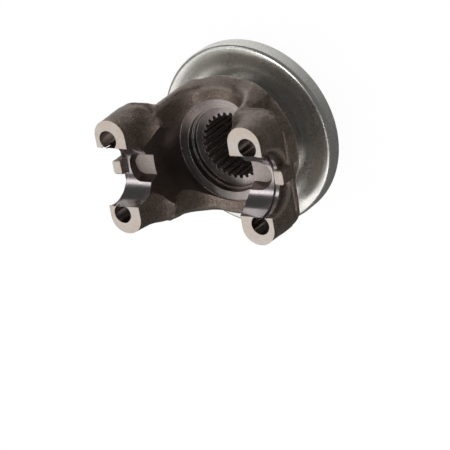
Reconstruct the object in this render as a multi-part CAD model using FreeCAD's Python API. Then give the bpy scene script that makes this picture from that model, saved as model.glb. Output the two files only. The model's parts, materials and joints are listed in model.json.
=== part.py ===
"""Forged end yoke of a drive shaft joint, with the pressed steel dust shield that sits on its hub.

The yoke is one forging. Two ears stand up from a round hub, and each ear carries half of a cup
seat between two flat pads. The hub is bored and splined right through and counterbored in
front for the shaft's nut. The shield is a separate dished pressing, pushed onto the hub from
behind until it meets a shoulder.

Lengths are millimetres. X runs from ear to ear, Y along each pair of bolt holes, and Z up the
bore towards the ears. A depth is measured down from the pad plane, which also holds the centre
line of the bearing cups. The finished solids are lifted so that the rear face of the hub stands
at Z = 0.
"""
import FreeCAD, Part
import math
import os

Vector = FreeCAD.Vector

# Joint: the cups, their bolts and the pads
centre_height = 88.9          # rear face of the hub to the centre line of the cups
cup_diameter = 34.93
cup_edge_chamfer = 0.7
lug_spacing = 104.6           # between the faces that hold the cups endways
bolt_spacing_x = 93.9
bolt_spacing_y = 46.0
bolt_hole_diameter = 11.5
pad_centre_x = 45.2
pad_width = 20.8
pad_length = 70.4
pad_corner = 10.2

# Ears, from the pads down to the nut seats
ear_draft_deg = 3.0
ear_inner_flare = (0.0, 2.4, 5.4, 10.6)      # how far the inner wall comes in, section by section
ear_flare_depths = (0.0, 13.6, 17.8, 20.6)   # depths of those sections
nut_seat_depth = 25.6
nut_seat_diameter = 21.0
nut_room_depth = 10.0

# Cup seats: bearing lands, relief pocket, undercut and locating lug
land_outer_x = 49.5
undercut_extra = 1.1
relief_floor_depth = 21.6
relief_floor_width = 12.4
relief_top_width = 17.4
relief_end_x = 46.8
scoop_radius = 18.4
scoop_centre_depth = 4.8
lug_width = 9.2
lug_thickness = 5.6
lug_top_depth = 13.6
lug_corner = 1.4
lug_outer_corner = 2.2        # seen from above

# Web that joins the ears to the hub
web_half_width = 35.6         # at the shoulder, from where the sides open out by their draft
web_draft_deg = 8.5
web_edge = 3.0
ledge_half_width = 36.9
ledge_outer_x = 58.4
ledge_corner = 12.0
ledge_depth = 22.8
ledge_edge = 0.9
shoulder_depth = 20.4
shoulder_half_width = 25.8    # between the two shoulders, where the valley opens at its top
valley_half_width = 24.0
valley_depth = 46.6
valley_corner = 18.0
web_neck_x = 30.6
web_neck_fillet = 8.0
web_neck_radius = 46.0
rib_half_width = 11.5
rib_edge = 3.6
rib_heel_x = 57.0
rib_heel_depth = 28.5

# Hub outside
drum_top_radius = 39.4
drum_radius = 43.6
drum_edge = 1.6
drum_parting_depth = 57.0
neck_radius = 37.0
neck_depth = 64.0
shield_seat_depth = 71.0
shield_seat_diameter = 65.0
shield_seat_length = 5.4
journal_diameter = 63.5
journal_chamfer = 1.6

# Hub inside
clearance_depth = 32.0
clearance_slope = 0.18        # how much the clearance cone opens for each millimetre of height
counterbore_diameter = 64.0
counterbore_depth = 47.6
nut_recess_diameter = 52.8
nut_recess_depth = 51.8
face_recess_diameter = 50.2
spline_face_depth = 54.7
spline_teeth = 30
spline_root_diameter = 41.5
spline_tip_diameter = 38.0
spline_space_at_tip = 0.66      # share of the pitch that a tooth space takes at the tip circle
spline_space_at_root = 0.36     # the same at the root circle

# Dust shield
shield_thickness = 1.6
shield_fit_clearance = 0.05
shield_outer_diameter = 114.0
shield_front_depth = 69.0
shield_rim_depth = 79.2
shield_dish_radius = 50.5
shield_flat_radius = 45.5
shield_collar_length = 5.0


def xz(x, z):
    """Place an outline point in the XZ plane."""
    return Vector(x, 0, z)


def xy(x, y):
    """Place an outline point in the XY plane."""
    return Vector(x, y, 0)


def yz(y, z):
    """Place an outline point in the YZ plane."""
    return Vector(0, y, z)


def rounded_wire(corners, place):
    """Closed outline through corners (u, v, radius), with a tangent arc at each rounded corner."""
    points = [Vector(u, v, 0) for u, v, _ in corners]
    count = len(points)
    arcs = []
    for index, (_, _, radius) in enumerate(corners):
        corner = points[index]
        back = (points[index - 1] - corner).normalize()
        ahead = (points[(index + 1) % count] - corner).normalize()
        if radius <= 0:
            arcs.append((corner, None, corner))
            continue
        half = back.getAngle(ahead) / 2
        reach = radius / math.tan(half)
        middle_line = (back + ahead).normalize()
        middle = corner + middle_line * (radius / math.sin(half) - radius)
        arcs.append((corner + back * reach, middle, corner + ahead * reach))
    edges = []
    for index, (start, middle, end) in enumerate(arcs):
        if middle is not None:
            edges.append(Part.Arc(place(start.x, start.y), place(middle.x, middle.y),
                                  place(end.x, end.y)).toShape())
        following = arcs[(index + 1) % count][0]
        if end.distanceToPoint(following) > 1e-6:
            edges.append(Part.makeLine(place(end.x, end.y), place(following.x, following.y)))
    return Part.Wire(edges)


def turned(corners):
    """Solid of revolution about Z from an outline of (radius, height, corner radius)."""
    face = Part.Face(rounded_wire(corners, xz))
    return face.revolve(Vector(0, 0, 0), Vector(0, 0, 1), 360)


def slab(corners, place, start, direction):
    """Prism of an outline, moved by start and pushed along direction."""
    face = Part.Face(rounded_wire(corners, place))
    face.translate(start)
    return face.extrude(direction)


def cylinder_z(radius, low, high, x=0.0, y=0.0):
    """Upright cylinder between two heights."""
    return Part.makeCylinder(radius, high - low, Vector(x, y, low))


def cylinder_x(radius, start, end, z=0.0):
    """Cylinder along X between two stations."""
    return Part.makeCylinder(radius, end - start, Vector(start, 0, z), Vector(1, 0, 0))


def ear():
    """One ear, from its pads down into the web, as a loft through rounded sections."""
    draft = math.tan(math.radians(ear_draft_deg))
    sections = []
    for depth, flare in zip(ear_flare_depths, ear_inner_flare):
        grow = depth * draft
        inner = pad_centre_x - pad_width / 2 - flare
        outer = pad_centre_x + pad_width / 2 + grow
        side = pad_length / 2 + grow
        corner = pad_corner + grow
        wire = rounded_wire([(inner, -side, corner), (outer, -side, corner),
                             (outer, side, corner), (inner, side, corner)], xy)
        wire.translate(Vector(0, 0, -depth))
        sections.append(wire)
    upper = Part.makeLoft(sections, True, True)
    foot = Part.Face(sections[-1]).extrude(Vector(0, 0, ear_flare_depths[-1] - nut_seat_depth + 1.0))
    return upper.fuse(foot)


def web_side(depth):
    """Half width of the web at a depth."""
    return web_half_width + (depth - shoulder_depth) * math.tan(math.radians(web_draft_deg))


def web():
    """Web under one ear: shoulder, nut seat, neck and the wall of the valley."""
    bottom = drum_parting_depth - 1.0
    outer = ledge_outer_x - 1.0
    profile = slab(
        [(0.0, -valley_depth, 0), (valley_half_width, -valley_depth, valley_corner),
         (shoulder_half_width, -shoulder_depth, 0),
         (pad_centre_x, -shoulder_depth, 0), (outer, -ledge_depth - 0.2, 0),
         (outer, -nut_seat_depth, 0), (web_neck_x, -nut_seat_depth, web_neck_fillet),
         (web_neck_x, -bottom, 0), (0.0, -bottom, 0)],
        xz, Vector(0, -2 * web_half_width, 0), Vector(0, 4 * web_half_width, 0))
    top = shoulder_depth - 1.0
    sides = slab(
        [(-web_side(top), -top, 0), (web_side(top), -top, 0),
         (web_side(bottom), -bottom, 0), (-web_side(bottom), -bottom, 0)],
        yz, Vector(-1.0, 0, 0), Vector(outer + 2.0, 0, 0))
    drafted = profile.common(sides)
    ridge = [edge for edge in drafted.Edges if on_web_ridge(edge)]
    drafted = drafted.makeChamfer(web_edge, ridge)
    plan_low = cylinder_z(web_neck_radius, -bottom, -nut_seat_depth - 0.5)
    plan_top = slab(
        [(-1.0, -web_side(bottom), 0), (outer, -web_side(bottom), ledge_corner + 2.0),
         (outer, web_side(bottom), ledge_corner + 2.0), (-1.0, web_side(bottom), 0)],
        xy, Vector(0, 0, -nut_seat_depth - 0.5), Vector(0, 0, nut_seat_depth))
    return drafted.common(plan_top.fuse(plan_low))


def on_web_ridge(edge):
    """Whether an edge of the web runs along its side, from the valley floor to the shoulder."""
    middle = edge.valueAt((edge.FirstParameter + edge.LastParameter) / 2)
    on_side = abs(abs(middle.y) - web_side(-middle.z)) < 0.01
    inner = 0.5 < middle.x < shoulder_half_width + 0.01 and middle.z > -valley_depth - 0.01
    top = middle.x > shoulder_half_width and middle.z > -shoulder_depth - 0.01
    return on_side and (inner or top)


def ledge():
    """Thin plate left by the trimmed flash, which stands out round the foot of one ear."""
    inside = web_neck_x
    body = slab(
        [(inside, -ledge_half_width, 0), (ledge_outer_x, -ledge_half_width, ledge_corner),
         (ledge_outer_x, ledge_half_width, ledge_corner), (inside, ledge_half_width, 0)],
        xy, Vector(0, 0, -nut_seat_depth), Vector(0, 0, nut_seat_depth - ledge_depth))
    rim = [edge for edge in body.Edges if edge.BoundBox.ZLength < 0.01
           and edge.BoundBox.XMax > inside + 1.0]
    return body.makeChamfer(ledge_edge, rim)


def rib():
    """Rib between the two nut rooms of one ear, sloping in from the ear's heel to the hub."""
    inside = web_neck_x - 4.0
    bottom = -drum_parting_depth
    body = slab(
        [(inside, -nut_seat_depth + 1.0, 0), (rib_heel_x, -nut_seat_depth + 1.0, 0),
         (rib_heel_x, -rib_heel_depth, 0), (drum_radius - 0.8, -valley_depth, 0),
         (drum_radius - 0.8, bottom, 0), (inside, bottom, 0)],
        xz, Vector(0, -rib_half_width, 0), Vector(0, 2 * rib_half_width, 0))
    back = [edge for edge in body.Edges if on_rib_back(edge, inside, bottom)]
    return body.makeChamfer(rib_edge, back)


def on_rib_back(edge, inside, bottom):
    """Whether an edge of the rib runs down its outer corner."""
    middle = edge.valueAt((edge.FirstParameter + edge.LastParameter) / 2)
    within = bottom + 0.01 < middle.z < -nut_seat_depth + 0.99
    return edge.BoundBox.YLength < 0.01 and within and middle.x > inside + 1.0


def hub():
    """Round hub: drum under the arms, neck, shoulder and seat for the shield, seal journal."""
    journal = journal_diameter / 2
    seat = shield_seat_diameter / 2
    seat_end = -shield_seat_depth - shield_seat_length
    rear = -centre_height
    return turned(
        [(0, rear, 0), (journal - journal_chamfer, rear, 0), (journal, rear + journal_chamfer, 0),
         (journal, seat_end, 0), (seat, seat_end, 0),
         (seat, -shield_seat_depth, 0), (neck_radius, -shield_seat_depth, 0),
         (neck_radius, -neck_depth, 0), (drum_radius, -drum_parting_depth, 0),
         (drum_top_radius + drum_edge, -valley_depth - drum_edge, 0),
         (drum_top_radius, -valley_depth, 0), (0, -valley_depth, 0)])


def cup_seat():
    """What is cut from one ear for its cup: seat, edge chamfer, relief, undercut and scoop."""
    radius = cup_diameter / 2
    inside = counterbore_diameter / 2 - 6.0
    outside = ledge_outer_x + 2.0
    lug_face = lug_spacing / 2
    seat = cylinder_x(radius, inside, lug_face)
    edge = radius + cup_edge_chamfer
    chamfer = slab([(-edge, 0, 0), (edge, 0, 0), (radius - 0.05, -cup_edge_chamfer - 0.05, 0),
                    (-radius + 0.05, -cup_edge_chamfer - 0.05, 0)],
                   yz, Vector(inside, 0, 0), Vector(outside - inside, 0, 0))
    undercut = cylinder_x(radius + undercut_extra, land_outer_x, lug_face)
    scoop = cylinder_x(scoop_radius, lug_face, outside, -scoop_centre_depth)
    mouth = slab([(-radius, 0.5, 0), (radius, 0.5, 0), (radius, -scoop_centre_depth, 0),
                  (-radius, -scoop_centre_depth, 0)],
                 yz, Vector(lug_face, 0, 0), Vector(outside - lug_face, 0, 0))
    return Part.makeCompound([seat]).fuse([chamfer, undercut, scoop, mouth, relief_pocket(inside)])


def relief_pocket(inside):
    """Drafted pocket in the floor of a cup seat, open towards the bore and round at its far end."""
    land_depth = math.sqrt((cup_diameter / 2) ** 2 - (relief_top_width / 2) ** 2)
    slope = (relief_top_width - relief_floor_width) / 2 / (relief_floor_depth - land_depth)
    top_depth = land_depth - 3.0
    top_half = relief_floor_width / 2 + slope * (relief_floor_depth - top_depth)
    floor_half = relief_floor_width / 2
    end_x = relief_end_x - floor_half
    trough = slab([(-floor_half, -relief_floor_depth, 0.8), (floor_half, -relief_floor_depth, 0.8),
                   (top_half, -top_depth, 0), (-top_half, -top_depth, 0)],
                  yz, Vector(inside, 0, 0), Vector(end_x - inside, 0, 0))
    far_end = Part.makeCone(floor_half, top_half, relief_floor_depth - top_depth,
                            Vector(end_x, 0, -relief_floor_depth))
    return trough.fuse(far_end)


def lug():
    """Locating lug that stands at the outer end of a cup seat and stops the cup from sliding out."""
    face = lug_spacing / 2
    half = lug_width / 2
    foot = -ledge_depth - 2.0
    front = slab([(-half, foot, 0), (half, foot, 0),
                  (half, -lug_top_depth, lug_corner), (-half, -lug_top_depth, lug_corner)],
                 yz, Vector(face, 0, 0), Vector(lug_thickness, 0, 0))
    plan = slab([(face, -half, 0), (face + lug_thickness, -half, lug_outer_corner),
                 (face + lug_thickness, half, lug_outer_corner), (face, half, 0)],
                xy, Vector(0, 0, foot), Vector(0, 0, -lug_top_depth - foot))
    return front.common(plan)


def bolt_positions():
    """Centres of the four bolt holes."""
    return [(side * bolt_spacing_x / 2, end * bolt_spacing_y / 2)
            for side in (-1, 1) for end in (-1, 1)]


def bolt_holes():
    """Four bolt holes, each with the round nut seat faced under it."""
    cutters = []
    for x, y in bolt_positions():
        hole = cylinder_z(bolt_hole_diameter / 2, -nut_seat_depth - 1.0, 1.0, x, y)
        room = cylinder_z(nut_seat_diameter / 2, -nut_seat_depth - nut_room_depth, -nut_seat_depth, x, y)
        cutters.append(hole.fuse(room))
    return cutters


def bore():
    """Turned inside of the yoke, from the clearance between the ears down to the spline face."""
    counterbore = counterbore_diameter / 2
    recess = nut_recess_diameter / 2
    face = face_recess_diameter / 2
    return turned(
        [(0, -spline_face_depth, 0), (face, -spline_face_depth, 0), (face, -nut_recess_depth, 0),
         (recess, -nut_recess_depth, 0), (recess, -counterbore_depth, 0),
         (counterbore, -counterbore_depth, 0), (counterbore, -clearance_depth, 0),
         (counterbore + clearance_slope * (clearance_depth + 1.0), 1.0, 0), (0, 1.0, 0)])


def spline_hole():
    """Splined bore right through the hub: straight sided spaces between the tip and root circles."""
    root = spline_root_diameter / 2
    tip = spline_tip_diameter / 2
    pitch = 2 * math.pi / spline_teeth

    def on_circle(radius, angle):
        return Vector(radius * math.cos(angle), radius * math.sin(angle), 0)

    edges = []
    for tooth in range(spline_teeth):
        middle = tooth * pitch
        at_tip = spline_space_at_tip * pitch / 2
        at_root = spline_space_at_root * pitch / 2
        entry, exit_ = middle - at_tip, middle + at_tip
        edges.append(Part.makeLine(on_circle(tip, entry), on_circle(root, middle - at_root)))
        edges.append(Part.Arc(on_circle(root, middle - at_root), on_circle(root, middle),
                              on_circle(root, middle + at_root)).toShape())
        edges.append(Part.makeLine(on_circle(root, middle + at_root), on_circle(tip, exit_)))
        edges.append(Part.Arc(on_circle(tip, exit_), on_circle(tip, middle + pitch / 2),
                              on_circle(tip, entry + pitch)).toShape())
    face = Part.Face(Part.Wire(edges))
    face.translate(Vector(0, 0, -centre_height - 1.0))
    return face.extrude(Vector(0, 0, centre_height + 1.0 - spline_face_depth + 0.5))


def both_sides(solid):
    """A solid made for the ear at +X, and its copy turned half round for the other ear."""
    turned_copy = solid.copy()
    turned_copy.rotate(Vector(0, 0, 0), Vector(0, 0, 1), 180)
    return [solid, turned_copy]


def forged_yoke():
    """The whole forging with its machined faces."""
    arms = both_sides(ear()) + both_sides(web()) + both_sides(ledge()) + both_sides(rib())
    body = hub().fuse(arms)
    for cutter in [bore()] + both_sides(cup_seat()) + bolt_holes():
        body = body.cut(cutter)
    body = body.fuse(both_sides(lug()))
    return body.cut(spline_hole()).removeSplitter()


def dust_shield():
    """Dished shield of even thickness, with a short collar on the hub and a rim turned back."""
    wall = shield_thickness
    collar = shield_seat_diameter / 2 + shield_fit_clearance
    rim = shield_outer_diameter / 2
    front = -shield_front_depth
    flat = -shield_seat_depth
    collar_end = flat - shield_collar_length
    return turned(
        [(collar, flat, 0), (shield_flat_radius, flat, 0), (shield_dish_radius, front, 0),
         (rim, front, 0), (rim, -shield_rim_depth, 0), (rim - wall, -shield_rim_depth, 0),
         (rim - wall, front - wall, 0), (shield_dish_radius + 0.6, front - wall, 0),
         (shield_flat_radius + 0.6, flat - wall, 0), (collar + wall, flat - wall, 0),
         (collar + wall, collar_end, 0), (collar, collar_end, 0)])


def main():
    """Build both pieces, lift them onto the rear face of the hub and write them out."""
    os.makedirs("parts", exist_ok=True)
    for name, solid in (("forged_yoke", forged_yoke()), ("dust_shield", dust_shield())):
        solid.translate(Vector(0, 0, centre_height))
        if solid.ShapeType == "Compound" and len(solid.Solids) == 1:
            solid = solid.Solids[0]
        print(name, "valid", solid.isValid(), "solids", len(solid.Solids), "volume", round(solid.Volume))
        solid.exportStep(os.path.join("parts", name + ".step"))


main()
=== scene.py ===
"""Studio picture of a forged end yoke with its pressed dust shield.

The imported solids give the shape. The forging is copied to a clean mesh, its faces are sorted into
the finishes that the real surfaces have, and its blasted skin is given fine faces, soft edges and
knocks. Geometry trees turn the shield from its profile, and add the burrs that the drill left in
two bolt holes. The part is lit softly on a pale floor, and the camera looks down past one ear, as
in the photograph. Lengths are metres, and a name that ends in _mm holds millimetres.
"""
import json
import logging
import math
from dataclasses import dataclass
from enum import Enum

import bmesh
import bpy
import numpy as np
from mathutils import Matrix, Vector, noise


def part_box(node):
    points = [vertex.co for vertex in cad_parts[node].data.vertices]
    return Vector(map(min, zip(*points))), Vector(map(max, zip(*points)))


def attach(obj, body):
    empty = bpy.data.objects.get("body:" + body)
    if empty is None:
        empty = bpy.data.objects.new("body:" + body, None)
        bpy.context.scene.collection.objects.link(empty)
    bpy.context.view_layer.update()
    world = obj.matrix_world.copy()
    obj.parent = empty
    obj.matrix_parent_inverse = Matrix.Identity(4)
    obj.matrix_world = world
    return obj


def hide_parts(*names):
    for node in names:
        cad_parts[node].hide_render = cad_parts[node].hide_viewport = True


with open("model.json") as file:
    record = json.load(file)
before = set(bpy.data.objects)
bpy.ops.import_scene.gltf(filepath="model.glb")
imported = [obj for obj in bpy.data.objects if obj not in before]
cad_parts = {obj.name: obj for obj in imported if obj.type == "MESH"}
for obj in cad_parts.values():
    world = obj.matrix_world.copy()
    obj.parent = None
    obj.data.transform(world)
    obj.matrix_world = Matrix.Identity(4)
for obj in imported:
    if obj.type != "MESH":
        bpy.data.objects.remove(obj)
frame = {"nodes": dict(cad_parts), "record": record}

logging.basicConfig(level=logging.INFO, format="%(message)s")
log = logging.getLogger("yoke")

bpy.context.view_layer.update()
MM = 0.001
MOUNTS = {mount["name"]: mount for mount in frame["record"]["mounts"]}
BOLTS = MOUNTS["strap_bolts"]["dims"]
PAD_HEIGHT = MOUNTS["strap_bolts"]["pos_m"][2]
WHITE = (1.0, 1.0, 1.0, 1.0)
MERGE_DISTANCE = 1e-7

# Spans of a mask over which a finish changes, and the painted shade that a hollow gets. RIDGE_SPAN lightens
# ridges, partly as wear and partly as a painted highlight.
GRAIN_SPAN = (0.2, 1.1)
LINE_SPAN = (0.3, 0.7)
HOLLOW_SPAN = (0.1, 0.5)
HOLLOW_SHADE = 0.62
RIDGE_SPAN = (0.56, 0.95)
# Spans of the noises and directions that the masks themselves are made from.
PIT_SPAN = (0.28, 0.66)
PATCH_SPAN = (0.46, 0.62)
SPECK_SPAN = (0.68, 0.76)
STAIN_SPAN = (0.3, 0.7)
# Span over which the painted shade on one side of the turned faces comes in.
PAINTED_SHADE_SPAN = (0.1, 0.85)
EDGE_SPAN = (0.985, 0.86)
# Turned lines are counted by the radius plus this share of the height, so flats and walls both show them.
WALL_STEP = 0.83


class Region(Enum):
    """Kinds of surface on the forging, in the order of its material slots."""

    SKIN = 0
    PAD = 1
    HOLE = 2
    SEAT = 3
    RELIEF = 4
    CONE = 5
    BORE = 6
    SPLINE = 7
    REAR = 8


class Lines(Enum):
    """Ways that a cutting tool's lines can run on a surface."""

    NONE = "none"
    ROUND_X = "round the X axis"
    ROUND_Z = "round the Z axis"
    LEVEL = "level rings up a hole"


class Tree:
    """Short way to add and join nodes in a shader or geometry tree."""

    def __init__(self, tree: bpy.types.NodeTree) -> None:
        """Keep the tree that nodes are added to.

        Args:
            tree: The node tree to build in.
        """
        self.tree = tree

    def add(self, kind: str, sockets: dict | None = None, **settings: object) -> bpy.types.Node:
        """Add a node, set its options, and fill or link its inputs.

        Args:
            kind: Blender's type name of the node.
            sockets: Values or output sockets, by input name or index.
            **settings: Attributes of the node itself.

        Returns:
            The new node.
        """
        node = self.tree.nodes.new(kind)
        for name, value in settings.items():
            setattr(node, name, value)
        for key, value in (sockets or {}).items():
            target = node.inputs[key]
            if isinstance(value, bpy.types.NodeSocket):
                self.tree.links.new(value, target)
            else:
                target.default_value = value
        return node

    def math(self, operation: str, *values: object, clamp: bool = False) -> bpy.types.NodeSocket:
        """Add a Math node and return its output.

        Args:
            operation: Name of the operation.
            *values: Numbers or sockets for its inputs.
            clamp: Whether the result is held between 0 and 1.

        Returns:
            The node's output socket.
        """
        node = self.add("ShaderNodeMath", dict(enumerate(values)), operation=operation, use_clamp=clamp)
        return node.outputs[0]

    def vector(self, operation: str, *values: object) -> bpy.types.NodeSocket:
        """Add a Vector Math node and return its vector output.

        Args:
            operation: Name of the operation.
            *values: Vectors or sockets for its inputs.

        Returns:
            The vector's socket.
        """
        node = self.add("ShaderNodeVectorMath", dict(enumerate(values)), operation=operation)
        return node.outputs["Vector"]

    def measure(self, operation: str, *values: object) -> bpy.types.NodeSocket:
        """Add a Vector Math node and return the number that it gives, such as a length."""
        node = self.add("ShaderNodeVectorMath", dict(enumerate(values)), operation=operation)
        return node.outputs["Value"]

    def group(self, group: bpy.types.NodeTree, sockets: dict | None = None) -> bpy.types.bpy_prop_collection:
        """Add a shared shader group and give its outputs."""
        return self.add("ShaderNodeGroup", sockets, node_tree=group).outputs

    def place(self) -> bpy.types.NodeSocket:
        """Give the place on the part, in its own coordinates."""
        return self.add("ShaderNodeTexCoord").outputs["Object"]

    def split(self, vector: bpy.types.NodeSocket) -> bpy.types.bpy_prop_collection:
        """Take a vector apart into its three numbers."""
        return self.add("ShaderNodeSeparateXYZ", {0: vector}).outputs

    def point(self, x: object = 0.0, y: object = 0.0, z: object = 0.0) -> bpy.types.NodeSocket:
        """Put a vector together from numbers or sockets."""
        return self.add("ShaderNodeCombineXYZ", {0: x, 1: y, 2: z}).outputs[0]

    def ramp(self, value: bpy.types.NodeSocket, low: object, high: object,
             start: float = 0.0, end: float = 1.0) -> bpy.types.NodeSocket:
        """Map a value from one range to another, smoothly and clamped.

        Args:
            value: Socket to map.
            low: Input that gives start, as a number or socket.
            high: Input that gives end, as a number or socket.
            start: Output at low.
            end: Output at high.

        Returns:
            The mapped value's socket.
        """
        node = self.add("ShaderNodeMapRange", {0: value, 1: low, 2: high, 3: start, 4: end},
                        interpolation_type="SMOOTHSTEP")
        return node.outputs[0]

    def mix(self, factor: object, first: object, second: object, blend: str = "MIX") -> bpy.types.NodeSocket:
        """Mix two colours.

        Args:
            factor: Share of the second colour.
            first: First colour or socket.
            second: Second colour or socket.
            blend: Name of the blend type.

        Returns:
            The mixed colour's socket.
        """
        node = self.add("ShaderNodeMix", {0: factor, 6: first, 7: second},
                        data_type="RGBA", blend_type=blend, clamp_factor=True)
        return node.outputs[2]

    def shaded(self, colour: object, shade: bpy.types.NodeSocket) -> bpy.types.NodeSocket:
        """Multiply a colour by a grey value.

        Args:
            colour: Colour or socket.
            shade: Grey value.

        Returns:
            The darker or lighter colour's socket.
        """
        grey = self.add("ShaderNodeCombineColor", {0: shade, 1: shade, 2: shade}).outputs[0]
        return self.mix(1.0, colour, grey, "MULTIPLY")

    def mottled(self, colour: object, mask: bpy.types.NodeSocket, span: tuple[float, float],
                swing: float) -> bpy.types.NodeSocket:
        """Darken a colour where a mask is low, and lighten it by the same share where it is high."""
        return self.shaded(colour, self.ramp(mask, *span, 1.0 - swing, 1.0 + swing))

    def pick(self, index: bpy.types.NodeSocket, values: list, kind: str) -> bpy.types.NodeSocket:
        """Choose one of several values by a number.

        Args:
            index: Number of the value.
            values: Values or sockets to choose from.
            kind: Data type of the values.

        Returns:
            The chosen value's socket.
        """
        node = self.tree.nodes.new("GeometryNodeIndexSwitch")
        node.data_type = kind
        while len(node.index_switch_items) < len(values):
            node.index_switch_items.new()
        self.tree.links.new(index, node.inputs["Index"])
        for number, value in enumerate(values):
            if isinstance(value, bpy.types.NodeSocket):
                self.tree.links.new(value, node.inputs[str(number)])
            else:
                node.inputs[str(number)].default_value = value
        return node.outputs[0]


def new_group(name: str, inputs: dict[str, float],
              outputs: dict[str, str]) -> tuple[bpy.types.NodeTree, Tree, bpy.types.bpy_prop_collection]:
    """Start a shader node group with named sockets.

    Args:
        name: Name of the group.
        inputs: Default value of each input.
        outputs: Kind of each output, Float or Vector.

    Returns:
        The group, a builder for it and the sockets of its inputs.
    """
    group = bpy.data.node_groups.new(name, "ShaderNodeTree")
    for label, value in inputs.items():
        socket = group.interface.new_socket(label, in_out="INPUT", socket_type="NodeSocketFloat")
        socket.default_value = value
    for label, kind in outputs.items():
        group.interface.new_socket(label, in_out="OUTPUT", socket_type=f"NodeSocket{kind}")
    tree = Tree(group)
    return group, tree, tree.add("NodeGroupInput").outputs


def cleared(owner: bpy.types.Material | bpy.types.World) -> Tree:
    """Empty the node tree of a material or world, and give a builder for it."""
    owner.use_nodes = True
    owner.node_tree.nodes.clear()
    return Tree(owner.node_tree)


def put(name: str, data: bpy.types.ID) -> bpy.types.Object:
    """Make an object from its data and link it to the scene."""
    item = bpy.data.objects.new(name, data)
    bpy.context.scene.collection.objects.link(item)
    return item


class Recipe:
    """A geometry tree with named inputs, and the piece that it makes."""

    def __init__(self, name: str, sizes: dict[str, object]) -> None:
        """Start the tree.

        Args:
            name: Name of the tree.
            sizes: Value of each input: a float, an int or a material.
        """
        self.sizes = sizes
        self.group = bpy.data.node_groups.new(name, "GeometryNodeTree")
        self.tree = Tree(self.group)
        kinds = {float: "NodeSocketFloat", int: "NodeSocketInt"}
        for label, value in sizes.items():
            self.group.interface.new_socket(label, in_out="INPUT",
                                            socket_type=kinds.get(type(value), "NodeSocketMaterial"))
        self.group.interface.new_socket("Geometry", in_out="OUTPUT", socket_type="NodeSocketGeometry")
        self.given = self.tree.add("NodeGroupInput").outputs

    def close(self, geometry: bpy.types.NodeSocket) -> None:
        """End the tree with real faces and their material.

        Args:
            geometry: Socket of the shape that is made.
        """
        real = self.tree.add("GeometryNodeRealizeInstances", {0: geometry})
        dressed = self.tree.add("GeometryNodeSetMaterial", {"Geometry": real.outputs[0],
                                                            "Material": self.given["Material"]})
        self.tree.add("NodeGroupOutput", {0: dressed.outputs[0]})

    def piece(self, name: str) -> bpy.types.Object:
        """Run the tree once and keep its result as a plain mesh.

        Args:
            name: Name of the new piece.

        Returns:
            The finished object, with no modifier.
        """
        piece = put(name, bpy.data.meshes.new(name))
        maker = piece.modifiers.new("recipe", "NODES")
        maker.node_group = self.group
        for socket in self.group.interface.items_tree:
            if socket.in_out == "INPUT":
                maker[socket.identifier] = self.sizes[socket.name]
        return settle(piece)


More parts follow.
